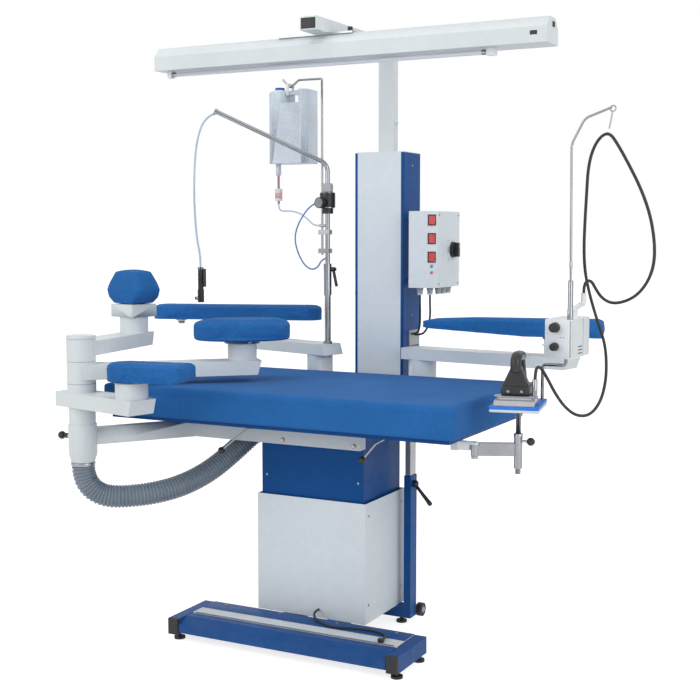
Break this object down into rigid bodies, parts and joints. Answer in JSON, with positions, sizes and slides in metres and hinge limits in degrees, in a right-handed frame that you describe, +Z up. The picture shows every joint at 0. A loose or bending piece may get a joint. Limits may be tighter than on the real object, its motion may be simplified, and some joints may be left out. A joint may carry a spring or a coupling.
{
  "type": "vacuum ironing station",
  "caption": "Height-adjustable vacuum ironing table with swinging forms, iron rest with steam iron, spray rig, lamp and foot pedal.",
  "frame": {"origin": "on the floor under the centre of the station's box, the free hoses left out", "axes": "+Z up, -Y towards the operator and the pedal, +X towards the iron rest"},
  "size_m": [2.2429, 1.2905, 2.183],
  "materials": {
    "blue_paint": "satin",
    "cream_paint": "satin",
    "white_paint": "satin",
    "bright_steel": "brushed",
    "chrome": "polished",
    "cast_aluminium": "satin",
    "black_rubber": "matt",
    "black_plastic": "matt",
    "blue_cloth": "woven",
    "grey_hose": "satin",
    "clear_hose": "gloss",
    "can_plastic": "satin",
    "red_plastic": "gloss",
    "tube_glass": "opal"
  },
  "bodies": {
    "base": {"foot_frame": "blue_paint", "rubber_feet": "black_rubber", "pedal_cover": "cream_paint", "lower_cover": "white_paint", "lift_motor": "bright_steel", "pedal_cable": "black_rubber"},
    "pedal": {"pedal_bar": "blue_paint"},
    "wheels": {"wheel_set": "black_rubber"},
    "clamp_lever": {"clamp_lever": "black_plastic"},
    "table": {"upper_housing": "blue_paint", "guide_rails": "bright_steel", "suction_fan": "cast_aluminium", "table_tray": "blue_paint", "table_pad": "blue_cloth", "arm_beam": "cream_paint", "arm_sleeve": "cream_paint", "column": "white_paint", "column_covers": "blue_paint", "control_box": "white_paint", "control_cables": "black_rubber", "suction_hose": "grey_hose"},
    "impeller": {"impeller": "cast_aluminium"},
    "lever_left": {"lever_left": "bright_steel"},
    "lever_right": {"lever_right": "bright_steel"},
    "lamp": {"lamp_post": "cream_paint", "lamp_housing": "cream_paint", "lamp_tube": "tube_glass"},
    "lamp_switch": {"lamp_switch": "black_plastic"},
    "rocker_top": {"rocker_top": "red_plastic"},
    "rocker_middle": {"rocker_middle": "red_plastic"},
    "rocker_low": {"rocker_low": "red_plastic"},
    "main_switch": {"main_switch": "black_plastic"},
    "arm_column": {"arm_column": "cream_paint"},
    "arm_1": {"arm_1": "cream_paint"},
    "arm_2": {"arm_2": "cream_paint"},
    "arm_3": {"arm_3": "cream_paint"},
    "arm_4": {"arm_4": "cream_paint", "spray_post": "bright_steel"},
    "arm_5": {"arm_5": "cream_paint"},
    "pad_1": {"pad_1": "blue_cloth"},
    "pad_2": {"pad_2": "blue_cloth"},
    "pad_3": {"pad_3": "blue_cloth"},
    "pad_4": {"pad_4": "blue_cloth"},
    "pad_5": {"pad_5": "blue_cloth"},
    "post_lever": {"post_lever": "black_plastic"},
    "boom": {"boom": "chrome", "jerry_can": "can_plastic", "feed_line": "clear_hose", "spray_hose": "clear_hose", "spray_gun": "black_plastic"},
    "gun_trigger": {"gun_trigger": "black_plastic"},
    "rest_link": {"rest_link": "cast_aluminium"},
    "rest": {"rest_plate": "white_paint", "rest_mast": "chrome", "steam_unit": "white_paint", "steam_hose": "black_rubber"},
    "steam_knob": {"steam_knob": "black_plastic"},
    "heat_knob": {"heat_knob": "black_plastic"},
    "iron": {"iron_sole": "cast_aluminium", "iron_body": "black_plastic"}
  },
  "joints": [
    {"name": "table_lift", "type": "slide", "parent": "base", "child": "table", "axis": [0, 0, 1], "range_m": [-0.1, 0.14]},
    {"name": "pedal_press", "type": "hinge", "parent": "base", "child": "pedal", "pos_m": [0.023, -0.351, 0.066], "axis": [1, 0, 0], "range_deg": [0, 6], "stiffness_Nm_per_rad": 60, "springref_deg": -6.88},
    {"name": "wheel_roll", "type": "hinge", "parent": "base", "child": "wheels", "pos_m": [-0.01, 0.199, 0.04], "axis": [1, 0, 0], "continuous": true},
    {"name": "clamp_turn", "type": "hinge", "parent": "base", "child": "clamp_lever", "pos_m": [0.275, 0.146, 0.526], "axis": [1, 0, 0], "range_deg": [-60, 60]},
    {"name": "impeller_spin", "type": "hinge", "parent": "table", "child": "impeller", "pos_m": [0.09, 0.028, 0.64], "axis": [1, 0, 0], "continuous": true},
    {"name": "lever_left_turn", "type": "hinge", "parent": "table", "child": "lever_left", "pos_m": [-0.196, -0.234, 0.76], "axis": [0, 1, 0], "range_deg": [-20, 15]},
    {"name": "lever_right_turn", "type": "hinge", "parent": "table", "child": "lever_right", "pos_m": [0.346, -0.234, 0.76], "axis": [0, 1, 0], "range_deg": [-15, 15]},
    {"name": "lamp_height", "type": "slide", "parent": "table", "child": "lamp", "axis": [0, 0, 1], "range_m": [-0.1, 0.12]},
    {"name": "lamp_switch_rock", "type": "hinge", "parent": "lamp", "child": "lamp_switch", "pos_m": [0.782, -0.081, 2.077], "axis": [0, 0, 1], "range_deg": [-8, 8]},
    {"name": "rocker_top_rock", "type": "hinge", "parent": "table", "child": "rocker_top", "pos_m": [0.22888, 0.38612, 1.49], "axis": [0.7071, 0.7071, 0], "range_deg": [-8, 8]},
    {"name": "rocker_middle_rock", "type": "hinge", "parent": "table", "child": "rocker_middle", "pos_m": [0.22888, 0.38612, 1.42], "axis": [0.7071, 0.7071, 0], "range_deg": [-8, 8]},
    {"name": "rocker_low_rock", "type": "hinge", "parent": "table", "child": "rocker_low", "pos_m": [0.22888, 0.38612, 1.35], "axis": [0.7071, 0.7071, 0], "range_deg": [-8, 8]},
    {"name": "main_switch_turn", "type": "hinge", "parent": "table", "child": "main_switch", "pos_m": [0.257, 0.527, 1.377], "axis": [1, 0, 0], "range_deg": [0, 90]},
    {"name": "arm_column_height", "type": "slide", "parent": "table", "child": "arm_column", "axis": [0, 0, 1], "range_m": [-0.012, 0.03]},
    {"name": "arm_1_swing", "type": "hinge", "parent": "arm_column", "child": "arm_1", "pos_m": [-0.732, -0.499, 1.01], "axis": [0, 0, 1], "range_deg": [0, 50]},
    {"name": "arm_2_swing", "type": "hinge", "parent": "arm_column", "child": "arm_2", "pos_m": [-0.732, -0.499, 0.927], "axis": [0, 0, 1], "range_deg": [-24, 15]},
    {"name": "arm_3_swing", "type": "hinge", "parent": "arm_column", "child": "arm_3", "pos_m": [-0.732, -0.499, 0.829], "axis": [0, 0, 1], "range_deg": [-75, 0]},
    {"name": "arm_4_swing", "type": "hinge", "parent": "table", "child": "arm_4", "pos_m": [-0.27, 0.416, 0.957], "axis": [0, 0, 1], "range_deg": [-25, 10]},
    {"name": "arm_5_swing", "type": "hinge", "parent": "table", "child": "arm_5", "pos_m": [0.18, 0.42, 0.957], "axis": [0, 0, 1], "range_deg": [0, 30]},
    {"name": "pad_1_turn", "type": "hinge", "parent": "arm_1", "child": "pad_1", "pos_m": [-0.8032, -0.09929, 1.122], "axis": [0, 0, 1], "range_deg": [-45, 45]},
    {"name": "pad_2_turn", "type": "hinge", "parent": "arm_2", "child": "pad_2", "pos_m": [-0.30997, -0.10407, 1.04], "axis": [0, 0, 1], "range_deg": [-20, 20]},
    {"name": "pad_3_turn", "type": "hinge", "parent": "arm_3", "child": "pad_3", "pos_m": [-0.46032, -0.56674, 0.935], "axis": [0, 0, 1], "range_deg": [-20, 20]},
    {"name": "pad_4_turn", "type": "hinge", "parent": "arm_4", "child": "pad_4", "pos_m": [-0.59514, 0.51541, 1.07], "axis": [0, 0, 1], "range_deg": [-15, 15]},
    {"name": "pad_5_turn", "type": "hinge", "parent": "arm_5", "child": "pad_5", "pos_m": [0.74912, 0.33799, 1.062], "axis": [0, 0, 1], "range_deg": [-15, 15]},
    {"name": "post_lever_turn", "type": "hinge", "parent": "arm_4", "child": "post_lever", "pos_m": [-0.227, 0.403, 1.298], "axis": [1, 0, 0], "range_deg": [-45, 45]},
    {"name": "boom_swivel", "type": "hinge", "parent": "arm_4", "child": "boom", "pos_m": [-0.227, 0.403, 1.32], "axis": [0, 0, 1], "range_deg": [-20, 20]},
    {"name": "trigger_squeeze", "type": "hinge", "parent": "boom", "child": "gun_trigger", "pos_m": [-0.68, 0.196, 1.234], "axis": [0, -1, 0], "range_deg": [0, 4], "stiffness_Nm_per_rad": 0.6, "springref_deg": -3.44},
    {"name": "rest_swing", "type": "hinge", "parent": "table", "child": "rest_link", "pos_m": [0.662, -0.252, 0.75], "axis": [0, 0, 1], "range_deg": [-40, 8]},
    {"name": "rest_height", "type": "slide", "parent": "rest_link", "child": "rest", "axis": [0, 0, 1], "range_m": [-0.03, 0.08]},
    {"name": "steam_knob_turn", "type": "hinge", "parent": "rest", "child": "steam_knob", "pos_m": [0.871, -0.089, 1.137], "axis": [0, 1, 0], "range_deg": [-135, 135]},
    {"name": "heat_knob_turn", "type": "hinge", "parent": "rest", "child": "heat_knob", "pos_m": [0.871, -0.089, 1.075], "axis": [0, 1, 0], "range_deg": [-135, 135]},
    {"name": "iron_lift", "type": "slide", "parent": "rest", "child": "iron", "axis": [0, 0, 1], "range_m": [0, 0.025]}
  ]
}
